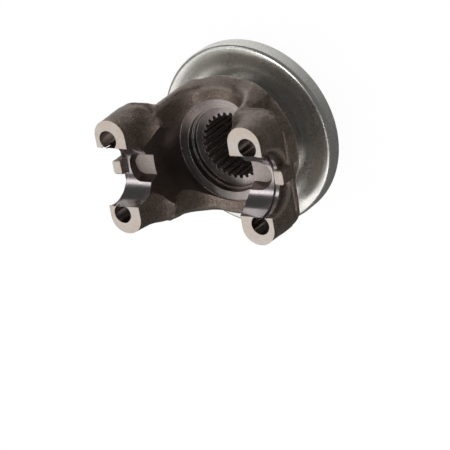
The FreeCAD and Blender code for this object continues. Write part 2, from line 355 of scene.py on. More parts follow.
class Effects:
    """Node groups for effects that several finishes share."""

    # Side of the turned faces that is darkened with painted shade.
    lain_side = (-0.9, -0.44, 0.0)

    def __init__(self) -> None:
        """Build each group once."""
        self.grain = self._grain()
        self.stain = self._stain()
        self.lines = self._lines()
        self.edges = self._edges()
        self.film = self._film()

    def _film(self) -> bpy.types.NodeTree:
        """Brown film of old oil towards the -Y side, and painted shade over one side of the turned faces.

        Returns:
            The group, with Start and Full as shares of the radius. One output masks the oil film, and the
            other is the painted shade.
        """
        group, tree, given = new_group("oil_film_and_shade", {"Start": 0.45, "Full": 0.8},
                                       {"Mask": "Float", "Grime": "Float"})
        split = tree.split(tree.place())
        flat = tree.point(split[0], split[1])
        radius = tree.math("MAXIMUM", tree.measure("LENGTH", flat), MM)
        low = tree.math("DIVIDE", tree.math("MULTIPLY", split[1], -1.0), radius)
        side = tree.measure("DOT_PRODUCT", tree.vector("NORMALIZE", flat), self.lain_side)
        tree.add("NodeGroupOutput", {"Mask": tree.ramp(low, given["Start"], given["Full"]),
                                     "Grime": tree.ramp(side, *PAINTED_SHADE_SPAN)})
        return group

    @staticmethod
    def _grain() -> bpy.types.NodeTree:
        """Fine grain of a blasted or plated surface, with rare painted glints.

        Returns:
            The group, with Size in millimetres, and outputs for the grain's height and for the painted
            glints.
        """
        group, tree, given = new_group("grain", {"Size": 0.6, "Coarse": 0.4},
                                       {"Height": "Float", "Speck": "Float"})
        place = tree.place()
        scale = tree.math("DIVIDE", 1.0 / MM, given["Size"])
        fine = tree.add("ShaderNodeTexNoise", {"Vector": place, "Scale": scale, "Detail": 3.0,
                                               "Roughness": 0.6})
        coarse = tree.add("ShaderNodeTexNoise", {"Vector": place, "Scale": tree.math("MULTIPLY", scale, 0.16),
                                                 "Detail": 2.0})
        pits = tree.ramp(fine.outputs[0], *PIT_SPAN)
        height = tree.math("MULTIPLY_ADD", coarse.outputs[0], given["Coarse"], pits)
        speck = tree.add("ShaderNodeTexNoise", {"Vector": place, "Scale": tree.math("MULTIPLY", scale, 0.8),
                                                "Detail": 0.0})
        patch = tree.ramp(coarse.outputs[0], *PATCH_SPAN)
        bright = tree.math("MULTIPLY", tree.ramp(speck.outputs[0], *SPECK_SPAN), patch)
        tree.add("NodeGroupOutput", {"Height": height, "Speck": bright})
        return group

    @staticmethod
    def _stain() -> bpy.types.NodeTree:
        """Large soft patches of colour, such as oil and heat leave.

        Returns:
            The group, with Size in millimetres and output Mask.
        """
        group, tree, given = new_group("stain", {"Size": 20.0, "Shift": 0.0}, {"Mask": "Float"})
        scale = tree.math("DIVIDE", 1.0 / MM, given["Size"])
        cloud = tree.add("ShaderNodeTexNoise", {
            "Vector": tree.place(), "W": given["Shift"], "Scale": scale, "Detail": 4.0, "Roughness": 0.62,
            "Distortion": 0.4}, noise_dimensions="4D")
        tree.add("NodeGroupOutput", {"Mask": tree.ramp(cloud.outputs[0], *STAIN_SPAN)})
        return group

    @staticmethod
    def _lines() -> bpy.types.NodeTree:
        """Uneven fine lines that a cutting tool leaves at even steps of a coordinate.

        Returns:
            The group, with Along and Pitch in metres and output Height.
        """
        group, tree, given = new_group("tool_lines", {"Along": 0.0, "Pitch": 0.4 * MM}, {"Height": "Float"})
        step = tree.math("DIVIDE", given["Along"], given["Pitch"])
        waver = tree.add("ShaderNodeTexNoise", {"W": step, "Scale": 1.0, "Detail": 3.0, "Roughness": 0.7},
                         noise_dimensions="1D")
        tree.add("NodeGroupOutput", {"Height": waver.outputs[0]})
        return group

    @staticmethod
    def _edges() -> bpy.types.NodeTree:
        """Softly rounded edges, and a mask of where they are.

        Returns:
            The group, with Radius in metres and outputs Normal and Mask.
        """
        group, tree, given = new_group("soft_edges", {"Radius": 0.3 * MM},
                                       {"Normal": "Vector", "Mask": "Float"})
        bevel = tree.add("ShaderNodeBevel", {"Radius": given["Radius"]}, samples=4).outputs[0]
        flat = tree.add("ShaderNodeNewGeometry").outputs["Normal"]
        across = tree.measure("DOT_PRODUCT", bevel, flat)
        tree.add("NodeGroupOutput", {"Normal": bevel, "Mask": tree.ramp(across, *EDGE_SPAN)})
        return group


@dataclass(frozen=True)
class Finish:
    """A metal surface: its colours, gloss, grain, tool lines, and edges lightened partly as wear and partly
    as a painted highlight.
    """

    name: str
    colour: tuple[float, float, float]
    stained: tuple[float, float, float]
    metallic: float
    roughness: float
    stain_size_mm: float = 18.0
    stain_share: float = 0.7
    stain_gloss: float = 0.14
    grain_size_mm: float = 0.6
    grain_depth_mm: float = 0.03
    grain_shade: float = 0.2
    # Share of painted glints, bright specks put into the colour.
    speck: float = 0.0
    edge_radius_mm: float = 0.25
    # Edges are lightened towards the edge colour, partly as wear and partly as a painted highlight.
    edge_light: float = 0.25
    edge_colour: tuple[float, float, float] = (0.62, 0.58, 0.55)
    # Strength of the ridge lightening, which is partly wear and partly a painted highlight. Hollows also get
    # painted shade.
    wear_and_painted_light: float = 0.0
    lines: Lines = Lines.NONE
    line_pitch_mm: float = 0.4
    line_depth_mm: float = 0.0
    line_shade: float = 0.0
    stretch: float = 0.0
    coat: float = 0.0
    coat_roughness: float = 0.3
    # The film strength also switches on a painted shade over one side of the turned faces, and the next
    # number says how dark that painted shade gets.
    film: float = 0.0
    grime: float = 0.7
    film_colour: tuple[float, float, float] = (0.42, 0.17, 0.05)

    def build(self, effects: Effects) -> bpy.types.Material:
        """Make the material.

        Args:
            effects: The shared node groups.

        Returns:
            The finished material.
        """
        material = bpy.data.materials.new(self.name)
        tree = cleared(material)
        grain = tree.group(effects.grain, {"Size": self.grain_size_mm})
        stain = tree.group(effects.stain, {"Size": self.stain_size_mm})["Mask"]
        edges = tree.group(effects.edges, {"Radius": self.edge_radius_mm * MM})
        share = tree.math("MULTIPLY", stain, self.stain_share)
        colour = tree.mix(share, (*self.colour, 1.0), (*self.stained, 1.0))
        colour = tree.mottled(colour, grain["Height"], GRAIN_SPAN, self.grain_shade)
        height = tree.math("MULTIPLY", grain["Height"], self.grain_depth_mm)
        if self.lines is not Lines.NONE:
            lines = tree.group(effects.lines, {"Along": self._along(tree),
                                               "Pitch": self.line_pitch_mm * MM})["Height"]
            height = tree.math("MULTIPLY_ADD", lines, self.line_depth_mm, height)
            colour = tree.mottled(colour, lines, LINE_SPAN, self.line_shade)
        # Edges are lightened, partly as wear and partly as a painted highlight, and the bright specks are
        # painted glints.
        lit = tree.math("ADD", tree.math("MULTIPLY", edges["Mask"], self.edge_light),
                        tree.math("MULTIPLY", grain["Speck"], self.speck), clamp=True)
        # Ridges are lightened, partly as wear and partly as a painted highlight, and hollows are darkened
        # with painted shade.
        if self.wear_and_painted_light:
            convexity = tree.add("ShaderNodeAttribute", attribute_name="wear_and_painted_light").outputs["Fac"]
            ridge = tree.math("MULTIPLY", tree.ramp(convexity, *RIDGE_SPAN), self.wear_and_painted_light)
            lit = tree.math("ADD", lit, ridge, clamp=True)
            colour = tree.shaded(colour, tree.ramp(convexity, *HOLLOW_SPAN, HOLLOW_SHADE, 1.0))
        # The painted shade on one side lies under the lightened edges, and the oil film lies over them.
        if self.film:
            film = tree.group(effects.film)
            colour = tree.shaded(colour, tree.ramp(film["Grime"], 0.0, 1.0, 1.0, 1.0 - self.grime))
        colour = tree.mix(lit, colour, (*self.edge_colour, 1.0))
        if self.film:
            oiled = tree.math("MULTIPLY", tree.math("MULTIPLY", film["Mask"], edges["Mask"]), self.film)
            colour = tree.mix(oiled, colour, (*self.film_colour, 1.0))
        gloss = tree.ramp(stain, 0.0, 1.0, self.roughness * (1 - self.stain_gloss),
                          self.roughness * (1 + self.stain_gloss))
        bump = tree.add("ShaderNodeBump", {"Height": tree.math("MULTIPLY", height, MM),
                                           "Normal": edges["Normal"], "Strength": 1.0, "Distance": 1.0})
        surface = tree.add("ShaderNodeBsdfPrincipled", {"Base Color": colour, "Roughness": gloss,
                                                        "Metallic": self.metallic, "Normal": bump.outputs[0]})
        if self.coat:
            surface.inputs["Coat Weight"].default_value = self.coat
            surface.inputs["Coat Roughness"].default_value = self.coat_roughness
        if self.stretch:
            surface.inputs["Anisotropic"].default_value = self.stretch
            material.node_tree.links.new(self._across(tree), surface.inputs["Tangent"])
        tree.add("ShaderNodeOutputMaterial", {"Surface": surface.outputs[0]})
        return material

    def _along(self, tree: Tree) -> bpy.types.NodeSocket:
        """Coordinate that changes from one tool line to the next.

        Args:
            tree: The material's tree.

        Returns:
            Socket with the distance in metres.
        """
        split = tree.split(tree.place())
        if self.lines is Lines.ROUND_X:
            return split[0]
        if self.lines is Lines.LEVEL:
            return split[2]
        radius = tree.measure("LENGTH", tree.point(split[0], split[1]))
        return tree.math("MULTIPLY_ADD", split[2], WALL_STEP, radius)

    @staticmethod
    def _across(tree: Tree) -> bpy.types.NodeSocket:
        """Direction that crosses lines turned round the Z axis, in which the gloss is drawn out.

        Args:
            tree: The material's tree.

        Returns:
            Socket with the direction.
        """
        along = tree.vector("CROSS_PRODUCT", (0.0, 0.0, 1.0), tree.place())
        facing = tree.add("ShaderNodeNewGeometry").outputs["Normal"]
        return tree.vector("NORMALIZE", tree.vector("CROSS_PRODUCT", facing, along))


FINISHES = {
    Region.SKIN: Finish("forged_skin", (0.2, 0.154, 0.125), (0.1, 0.074, 0.058), 0.8, 0.36,
                        grain_size_mm=0.85, grain_depth_mm=0.13, grain_shade=0.38, speck=0.5,
                        edge_radius_mm=0.3, edge_light=0.4, edge_colour=(0.52, 0.45, 0.4), wear_and_painted_light=0.5,
                        coat=0.25),
    Region.PAD: Finish("milled_pad", (0.5, 0.46, 0.432), (0.56, 0.455, 0.365), 0.9, 0.44,
                       stain_size_mm=10.0, stain_share=0.6, grain_size_mm=0.5, grain_depth_mm=0.02,
                       grain_shade=0.14, edge_radius_mm=0.15),
    Region.HOLE: Finish("drilled_hole", (0.42, 0.375, 0.355), (0.32, 0.275, 0.255), 1.0, 0.16,
                        lines=Lines.LEVEL, line_pitch_mm=0.5, line_depth_mm=0.004, line_shade=0.15,
                        grain_depth_mm=0.003, edge_radius_mm=0.12),
    Region.SEAT: Finish("bored_seat", (0.5, 0.455, 0.455), (0.4, 0.355, 0.35), 1.0, 0.2,
                        lines=Lines.ROUND_X, line_pitch_mm=0.35, line_depth_mm=0.002, line_shade=0.08,
                        grain_depth_mm=0.002, grain_shade=0.05, edge_radius_mm=0.15, edge_light=0.7,
                        edge_colour=(0.85, 0.86, 0.9)),
    Region.RELIEF: Finish("relief_floor", (0.33, 0.285, 0.265), (0.26, 0.22, 0.205), 1.0, 0.4,
                          lines=Lines.ROUND_X, line_pitch_mm=0.5, line_depth_mm=0.006, line_shade=0.1,
                          edge_radius_mm=0.2, edge_light=0.3),
    Region.CONE: Finish("turned_wall", (0.25, 0.2, 0.18), (0.14, 0.108, 0.095), 1.0, 0.34,
                        lines=Lines.ROUND_Z, line_pitch_mm=0.45, line_depth_mm=0.008, line_shade=0.2,
                        grain_depth_mm=0.006, edge_radius_mm=0.4, edge_light=1.0, stretch=0.5,
                        edge_colour=(0.95, 0.92, 0.88)),
    Region.BORE: Finish("turned_step", (0.42, 0.375, 0.36), (0.3, 0.26, 0.245), 1.0, 0.3,
                        lines=Lines.ROUND_Z, line_pitch_mm=0.45, line_depth_mm=0.01, line_shade=0.2,
                        grain_depth_mm=0.004, edge_radius_mm=0.4, edge_light=1.0, stretch=0.8, film=0.9,
                        edge_colour=(0.95, 0.92, 0.88)),
    Region.SPLINE: Finish("broached_spline", (0.17, 0.125, 0.1), (0.08, 0.055, 0.042), 0.6, 0.3,
                          grain_depth_mm=0.003, edge_radius_mm=0.4, edge_light=1.0,
                          edge_colour=(0.95, 0.92, 0.9)),
    Region.REAR: Finish("ground_journal", (0.42, 0.4, 0.38), (0.32, 0.29, 0.27), 1.0, 0.26,
                        lines=Lines.ROUND_Z, line_pitch_mm=0.3, line_depth_mm=0.004, line_shade=0.1,
                        grain_depth_mm=0.003, edge_radius_mm=0.15, stretch=0.5),
}
ZINC = Finish("zinc_plate", (0.88, 0.87, 0.82), (0.7, 0.69, 0.64), 0.95, 0.3, stain_size_mm=24.0,
              stain_gloss=0.16, grain_size_mm=1.1, grain_depth_mm=0.006, grain_shade=0.08,
              edge_radius_mm=0.2, edge_light=0.1)


def clean_copy(node: str, name: str) -> bpy.types.Object:
    """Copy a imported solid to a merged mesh.

    Args:
        node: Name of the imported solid.
        name: Name of the new piece.

    Returns:
        The new object, in place.
    """
    source = frame["nodes"][node].data
    points = np.array([vertex.co for vertex in source.vertices])
    steps = np.round(points / MERGE_DISTANCE).astype(np.int64)
    keys, inverse = np.unique(steps, axis=0, return_inverse=True)
    inverse = inverse.reshape(-1)
    merged = np.zeros((len(keys), 3))
    merged[inverse] = points
    triangles = inverse[np.array([polygon.vertices[:] for polygon in source.polygons])]
    whole = (triangles[:, 0] != triangles[:, 1]) & (triangles[:, 1] != triangles[:, 2])
    whole &= triangles[:, 0] != triangles[:, 2]
    mesh = bpy.data.meshes.new(name)
    mesh.from_pydata(merged.tolist(), [], triangles[whole].tolist())
    return put(name, mesh)


def shade(piece: bpy.types.Object, sharp_deg: float) -> bpy.types.Object:
    """Shade a piece smoothly, except over its sharp edges.

    Args:
        piece: Object with a plain mesh.
        sharp_deg: Angle between faces above which an edge stays sharp.

    Returns:
        The same object.
    """
    piece.data.shade_smooth()
    piece.data.set_sharp_from_angle(angle=math.radians(sharp_deg))
    weighted = piece.modifiers.new("even_shading", "WEIGHTED_NORMAL")
    weighted.keep_sharp = True
    weighted.weight = 50
    return settle(piece)


def settle(piece: bpy.types.Object) -> bpy.types.Object:
    """Turn a piece's modifiers into a plain mesh.

    Args:
        piece: Object with live modifiers.

    Returns:
        The same object, with its final mesh and no modifier.
    """
    bpy.context.view_layer.update()
    depsgraph = bpy.context.evaluated_depsgraph_get()
    mesh = bpy.data.meshes.new_from_object(piece.evaluated_get(depsgraph), preserve_all_data_layers=True,
                                           depsgraph=depsgraph)
    mesh.name = piece.name
    piece.modifiers.clear()
    piece.data = mesh
    return piece


@dataclass
class SkinWork:
    """Work on the forged skin: fine faces, soft edges, shallow waves and knocks."""

    longest_mm: float = 1.7
    split_rounds: int = 7
    even_deg: float = 7.0
    soften_rounds: int = 12
    pull: float = 0.5
    taper_rounds: int = 4
    wave_mm: float = 0.07
    wave_size_mm: float = 6.5
    fine_wave_size: float = 0.42
    fine_wave_share: float = 0.5
    knock_count: int = 110
    knock_radius_mm: tuple[float, float] = (0.8, 2.2)
    knock_depth_mm: tuple[float, float] = (0.05, 0.22)
    knock_stretch: float = 0.75
    wear_scale_mm: float = 0.7
    wear_rounds: int = 2
    seed: int = 11

    def refine(self, mesh: bpy.types.Mesh) -> None:
        """Split the long edges of the skin until its faces are small and even.

        Args:
            mesh: The forging's mesh, with its regions as material numbers.
        """
        work = bmesh.new()
        work.from_mesh(mesh)
        skin = Region.SKIN.value
        even = math.radians(self.even_deg)
        for _ in range(self.split_rounds):
            long_edges = [edge for edge in work.edges if edge.calc_length() > self.longest_mm * MM
                          and any(face.material_index == skin for face in edge.link_faces)]
            if not long_edges:
                break
            bmesh.ops.subdivide_edges(work, edges=long_edges, cuts=1)
            bmesh.ops.triangulate(work, faces=[face for face in work.faces if len(face.verts) > 3])
            faces = [face for face in work.faces if face.material_index == skin]
            inner = [edge for edge in work.edges if len(edge.link_faces) == 2
                     and all(face.material_index == skin for face in edge.link_faces)
                     and edge.calc_face_angle(math.pi) < even]
            bmesh.ops.beautify_fill(work, faces=faces, edges=inner)
        work.to_mesh(mesh)
        work.free()

    def soften(self, mesh: bpy.types.Mesh, ease: np.ndarray, box: tuple) -> None:
        """Round the skin's edges and give it waves and knocks, with the machined faces held.

        Args:
            mesh: The refined mesh.
            ease: How freely each point may move, from 0 to 1.
            box: Lowest and highest corner that the points stay within.
        """
        count = len(mesh.vertices)
        points = np.empty(count * 3)
        mesh.vertices.foreach_get("co", points)
        points = points.reshape(-1, 3)
        ends = np.empty(len(mesh.edges) * 2, dtype=np.int32)
        mesh.edges.foreach_get("vertices", ends)
        ends = ends.reshape(-1, 2)
        degree = np.maximum(np.bincount(ends.ravel(), minlength=count), 1)

        def around(values: np.ndarray) -> np.ndarray:
            """Mean of each point's neighbours."""
            total = np.bincount(ends[:, 0], weights=values[ends[:, 1]], minlength=count)
            total += np.bincount(ends[:, 1], weights=values[ends[:, 0]], minlength=count)
            return total / degree

        facing = np.array([vertex.normal for vertex in mesh.vertices])
        free = ease * self._free(mesh)
        start = points.copy()
        for _ in range(self.soften_rounds):
            mean = np.stack([around(points[:, axis]) for axis in range(3)], axis=1)
            points += self.pull * free[:, None] * (mean - points)
        moved = np.einsum("ij,ij->i", start - points, facing) / (self.wear_scale_mm * MM)
        taper = (free > 0).astype(float)
        for _ in range(self.taper_rounds):
            taper = np.minimum(around(taper), (free > 0) * 1.0)
        points += facing * (self._surface(points, free) * taper)[:, None]
        points = np.clip(points, np.array(box[0]), np.array(box[1]))
        mesh.vertices.foreach_set("co", points.ravel())
        # How far each point sank in the rounding marks ridges and hollows. Ridges get wear and a painted
        # highlight, and hollows get painted shade.
        wear_and_painted_light = mesh.attributes.new("wear_and_painted_light", "FLOAT", "POINT")
        for _ in range(self.wear_rounds):
            moved = 0.5 * (moved + around(moved))
        wear_and_painted_light.data.foreach_set("value", np.clip(0.5 + 0.5 * moved, 0.0, 1.0).astype(np.float32))
        mesh.update()

    @staticmethod
    def _free(mesh: bpy.types.Mesh) -> np.ndarray:
        """Points that touch no machined face.

        Args:
            mesh: The refined mesh.

        Returns:
            1 for each free point and 0 for each held one.
        """
        corners = np.empty(len(mesh.polygons) * 3, dtype=np.int32)
        mesh.polygons.foreach_get("vertices", corners)
        kinds = np.empty(len(mesh.polygons), dtype=np.int32)
        mesh.polygons.foreach_get("material_index", kinds)
        free = np.ones(len(mesh.vertices))
        free[corners.reshape(-1, 3)[kinds != Region.SKIN.value].ravel()] = 0.0
        return free

    def _surface(self, points: np.ndarray, free: np.ndarray) -> np.ndarray:
        """Height of the waves and knocks at each point.

        Args:
            points: Places of the points.
            free: How freely each point may move.

        Returns:
            Distance out of the surface in metres.
        """
        rough = np.zeros(len(points))
        for shrink, share in ((1.0, 1.0), (self.fine_wave_size, self.fine_wave_share)):
            scale = 1.0 / (self.wave_size_mm * shrink * MM)
            swell = np.array([noise.noise(Vector(point) * scale) for point in points])
            rough += share * self.wave_mm * MM * swell
        chance = np.random.default_rng(self.seed)
        loose = np.flatnonzero(free > 0.5)
        for spot in chance.choice(loose, self.knock_count, replace=False):
            radius = chance.uniform(*self.knock_radius_mm) * MM
            depth = chance.uniform(*self.knock_depth_mm) * MM
            lean = chance.normal(size=3)
            lean /= np.linalg.norm(lean)
            away = points - points[spot]
            length = away @ lean
            square = (away ** 2).sum(axis=1) - self.knock_stretch * length ** 2
            reach = np.sqrt(np.maximum(square, 0.0)) / radius
            rough -= depth * np.maximum(1.0 - reach ** 2, 0.0) ** 2
        return rough


@dataclass
class Forging:
    """The forged yoke, with its machined faces and the burrs that they left."""

    # Sizes of the solid, by which its faces are told apart. Depths are measured down from the pads.
    centre_height: float = PAD_HEIGHT
    bolt_x: float = BOLTS["spacing_x_mm"] * MM / 2
    bolt_y: float = BOLTS["spacing_y_mm"] * MM / 2
    hole_radius: float = BOLTS["hole_r_mm"] * MM
    cup_radius: float = MOUNTS["cup_seat_pos_x"]["dims"]["r_mm"] * MM
    undercut_mm: float = 1.1
    seat_edge_mm: float = 18.25
    ear_inside_mm: float = 26.0
    land_outer_mm: float = 49.5
    land_reach_mm: float = 0.5
    relief_wall_depth_mm: float = 14.0
    relief_floor_depth_mm: float = 21.6
    relief_half_mm: float = 8.7
    relief_end_mm: float = 46.8
    relief_reach_mm: float = 2.6
    lug_face_mm: float = 52.3
    lug_half_mm: float = 4.6
    lug_top_depth_mm: float = 13.6
    lug_reach_mm: float = 1.0
    nut_seat_depth_mm: float = 25.6
    nut_seat_radius_mm: float = 10.5
    ledge_mid_depth_mm: float = 24.2
    ledge_half_mm: float = 1.9
    ledge_body_mm: float = 1.7
    ledge_inside_mm: float = 31.0
    ledge_x_mm: float = 58.4
    ledge_y_mm: float = 36.9
    ledge_plan_corner_mm: float = 17.0
    clearance_depth_mm: float = 32.0
    clearance_slope: float = 0.18
    counterbore_radius_mm: float = 32.0
    counterbore_depth_mm: float = 47.6
    counterbore_corner_mm: float = 1.2
    spline_face_depth_mm: float = 54.7
    spline_root_mm: float = 20.75
    neck_depth_mm: float = 64.0
    # How close to a size a face has to lie, and how much it has to face one way.
    slack_mm: float = 0.06
    near_mm: float = 0.1
    tooth_slack_mm: float = 0.15
    seat_slack_mm: float = 0.2
    cone_slack_mm: float = 0.25
    flat_facing: float = 0.9
    half_facing: float = 0.5
    steep_facing: float = 0.3
    sharp_deg: float = 30.0
    # Work on the holes' mouths, the thin ledge and the lugs, and the burrs.
    mouth_slack_mm: float = 0.08
    mouth_depth_mm: float = 3.4
    mouth_facing: float = 0.8
    under_pad_mm: float = 0.02
    ledge_ease: float = 0.18
    lug_ease: float = 0.22
    burr_thick_mm: float = 0.42
    burr_turn_deg: float = -72.0
    burr_sweep_deg: float = 46.0
    burr_sunk: float = 0.15
    burr_swell: float = 0.6
    burr_least: float = 0.02
    burr_spin: float = 0.3
    burr_steps: int = 15
    burr_sides: int = 7
    burr_seed: int = 5

    def build(self, effects: Effects) -> list[bpy.types.Object]:
        """Make the dressed forging and its burrs.

        Args:
            effects: The shared node groups.

        Returns:
            The forging's own piece and the burrs.
        """
        piece = clean_copy("forged_yoke", "yoke_forging")
        materials = {region: FINISHES[region].build(effects) for region in Region}
        for region in Region:
            piece.data.materials.append(materials[region])
        centres = np.array([polygon.center for polygon in piece.data.polygons])
        normals = np.array([polygon.normal for polygon in piece.data.polygons])
        regions = self.sort_faces(centres, normals)
        piece.data.polygons.foreach_set("material_index", regions.astype(np.int32))
        self.close_mouths(piece.data)
        work = SkinWork()
        work.refine(piece.data)
        self.trim_ledge(piece.data)
        places = np.array([vertex.co for vertex in piece.data.vertices])
        work.soften(piece.data, self.ease(places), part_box("forged_yoke"))
        shade(piece, self.sharp_deg)
        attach(piece, "root")
        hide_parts("forged_yoke")
        burrs = self.burrs(materials[Region.PAD])
        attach(burrs, "root")
        return [piece, burrs]

    def sort_faces(self, centres: np.ndarray, normals: np.ndarray) -> np.ndarray:
        """Find the region of each face from its place and direction.

        Args:
            centres: Middle of each face.
            normals: Outward direction of each face.

        Returns:
            Number of each face's region.
        """
        x, y, z = centres.T
        side = np.abs(x) / MM
        depth = (self.centre_height - z) / MM
        regions = np.full(len(centres), Region.SKIN.value)
        radius = np.hypot(x, y) / MM
        outward = (normals[:, 0] * x + normals[:, 1] * y) / np.maximum(np.hypot(x, y), 1e-6)
        across = np.hypot(y, z - self.centre_height) / MM
        hole = np.hypot(np.abs(x) - self.bolt_x, np.abs(y) - self.bolt_y) / MM
        wide, up = np.abs(y) / MM, normals[:, 2]
        slack, near = self.slack_mm, self.near_mm
        above = np.maximum(self.clearance_depth_mm - depth, 0)
        cone = self.counterbore_radius_mm + self.clearance_slope * above
        in_bore = (radius < cone + self.cone_slack_mm) & (outward < -self.half_facing)
        in_bore &= depth < self.counterbore_depth_mm + slack
        floor = (radius < self.counterbore_radius_mm + near) & (depth < self.spline_face_depth_mm + slack)
        floor &= depth > self.counterbore_depth_mm - self.counterbore_corner_mm
        regions[in_bore] = Region.CONE.value
        regions[floor & ~in_bore] = Region.BORE.value
        root = self.spline_root_mm + self.tooth_slack_mm
        regions[(radius < root) & (depth > self.spline_face_depth_mm + slack)] = Region.SPLINE.value
        rear = (depth > self.neck_depth_mm - near) & (radius > root)
        rear |= depth > self.centre_height / MM - slack
        regions[rear] = Region.REAR.value
        cup = self.cup_radius / MM
        seat = np.abs(across - cup) < self.seat_slack_mm
        undercut = across < cup + self.undercut_mm + self.seat_slack_mm
        undercut &= across > cup - self.seat_slack_mm
        seat |= undercut & (side > self.land_outer_mm - self.land_reach_mm)
        seat &= (side < self.lug_face_mm + slack) & (side > self.ear_inside_mm) & (depth > self.under_pad_mm)
        regions[seat] = Region.SEAT.value
        relief = (np.abs(depth - self.relief_floor_depth_mm) < slack) & (up > self.flat_facing)
        wall = (depth > self.relief_wall_depth_mm) & (depth < self.relief_floor_depth_mm)
        wall &= across > cup + near
        pocket = (wide < self.relief_half_mm) & (side < self.relief_end_mm + self.relief_reach_mm)
        pocket &= side > self.ear_inside_mm
        regions[relief & pocket & (regions == Region.SKIN.value)] = Region.RELIEF.value
        regions[wall & pocket & (regions == Region.SKIN.value)] = Region.CONE.value
        lug = (side > self.lug_face_mm) & (wide < self.lug_half_mm) & (up > self.half_facing)
        regions[lug & (depth < self.lug_top_depth_mm + self.lug_reach_mm)] = Region.PAD.value
        drilled = (hole < self.hole_radius / MM + near) & (np.abs(up) < self.steep_facing)
        regions[drilled & (depth < self.nut_seat_depth_mm + slack)] = Region.HOLE.value
        nut = (np.abs(depth - self.nut_seat_depth_mm) < slack) & (hole < self.nut_seat_radius_mm + slack)
        regions[nut & (up < -self.flat_facing)] = Region.PAD.value
        regions[(depth < slack) & (up > self.flat_facing)] = Region.PAD.value
        return regions

    def close_mouths(self, mesh: bpy.types.Mesh) -> None:
        """Draw in the rim of each bolt hole where it would break into the cup seat's edge.

        Args:
            mesh: The forging's mesh.
        """
        for vertex in mesh.vertices:
            x, y = abs(vertex.co.x) - self.bolt_x, abs(vertex.co.y) - self.bolt_y
            reach = math.hypot(x, y)
            depth = (self.centre_height - vertex.co.z) / MM
            off_rim = abs(reach - self.hole_radius) > self.mouth_slack_mm * MM or depth > self.mouth_depth_mm
            if off_rim or -y / max(reach, 1e-6) < self.mouth_facing:
                continue
            drawn = max(abs(vertex.co.y), self.seat_edge_mm * MM)
            vertex.co.y = math.copysign(drawn, vertex.co.y)
            vertex.co.z = self.centre_height - self.under_pad_mm * MM
        mesh.update()

    def trim_ledge(self, mesh: bpy.types.Mesh) -> None:
        """Round the plan of the thin ledge until it meets the ear's own corners.

        Args:
            mesh: The refined mesh.
        """
        corner = self.ledge_plan_corner_mm * MM
        middle_x, middle_y = self.ledge_x_mm * MM - corner, self.ledge_y_mm * MM - corner
        for vertex in mesh.vertices:
            depth = (self.centre_height - vertex.co.z) / MM
            out_x, out_y = abs(vertex.co.x) - middle_x, abs(vertex.co.y) - middle_y
            reach = math.hypot(out_x, out_y)
            off_ledge = abs(depth - self.ledge_mid_depth_mm) > self.ledge_half_mm
            if off_ledge or out_x < 0 or out_y < 0 or reach < corner:
                continue
            vertex.co.x = math.copysign(middle_x + out_x * corner / reach, vertex.co.x)
            vertex.co.y = math.copysign(middle_y + out_y * corner / reach, vertex.co.y)
        mesh.update()

    def ease(self, places: np.ndarray) -> np.ndarray:
        """Say how freely each point of the skin may be softened.

        Args:
            places: Places of the points.

        Returns:
            1 on the open skin, and less on the thin ledge and the lugs.
        """
        side = np.abs(places[:, 0]) / MM
        wide = np.abs(places[:, 1]) / MM
        depth = (self.centre_height - places[:, 2]) / MM
        ease = np.ones(len(places))
        ledge = (np.abs(depth - self.ledge_mid_depth_mm) < self.ledge_body_mm) & (side > self.ledge_inside_mm)
        ease[ledge] = self.ledge_ease
        lug = (side > self.lug_face_mm - self.near_mm) & (wide < self.lug_half_mm + self.seat_slack_mm)
        ease[lug & (depth < self.relief_floor_depth_mm)] = self.lug_ease
        return ease

    def burrs(self, metal: bpy.types.Material) -> bpy.types.Object:
        """Make the thin burrs that stand in the mouths of the two bolt holes at the -Y side.

        Args:
            metal: The pads' material.

        Returns:
            One piece with a burr in each of these holes.
        """
        recipe = Recipe("hole_burrs", {
            "Spacing X": 2 * self.bolt_x, "Spacing Y": 2 * self.bolt_y, "Height": self.centre_height,
            "Hole Radius": self.hole_radius, "Thickness": self.burr_thick_mm * MM,
            "Turn": math.radians(self.burr_turn_deg), "Sweep": math.radians(self.burr_sweep_deg),
            "Seed": self.burr_seed, "Material": metal})
        tree, given = recipe.tree, recipe.given
        half = tree.math("MULTIPLY", given["Thickness"], 0.5)
        sunk = tree.math("MULTIPLY", given["Thickness"], self.burr_sunk)
        arc = tree.add("GeometryNodeCurveArc", {
            "Resolution": self.burr_steps, "Radius": tree.math("SUBTRACT", given["Hole Radius"], sunk),
            "Start Angle": given["Turn"], "Sweep Angle": given["Sweep"]})
        factor = tree.add("GeometryNodeSplineParameter").outputs["Factor"]
        swell = tree.math("SINE", tree.math("MULTIPLY", factor, math.pi))
        swell = tree.math("MAXIMUM", tree.math("POWER", swell, self.burr_swell), self.burr_least)
        tapered = tree.add("GeometryNodeSetCurveRadius", {"Curve": arc.outputs[0], "Radius": swell})
        section = tree.add("GeometryNodeCurvePrimitiveCircle", {"Resolution": self.burr_sides,
                                                                "Radius": half})
        burr = tree.add("GeometryNodeCurveToMesh", {"Curve": tapered.outputs[0], "Scale": swell,
                                                    "Profile Curve": section.outputs[0], "Fill Caps": True})
        near = tree.math("MULTIPLY", given["Spacing Y"], -0.5)
        far = tree.math("MULTIPLY", given["Spacing X"], -0.5)
        drop = tree.math("SUBTRACT", given["Height"], half)
        raised = tree.add("GeometryNodeMeshLine", {"Count": 2, "Start Location": tree.point(far, near, drop),
                                                   "Offset": tree.point(given["Spacing X"])})
        spin = tree.add("FunctionNodeRandomValue", {
            "Seed": given["Seed"], 2: -self.burr_spin, 3: self.burr_spin}, data_type="FLOAT")
        turn = tree.add("FunctionNodeEulerToRotation", {0: tree.point(z=spin.outputs[1])})
        placed = tree.add("GeometryNodeInstanceOnPoints", {
            "Points": raised.outputs[0], "Instance": burr.outputs[0], "Rotation": turn.outputs[0]})
        smooth = tree.add("GeometryNodeSetShadeSmooth", {0: placed.outputs[0]})
        recipe.close(smooth.outputs[0])
        return recipe.piece("hole_burrs")


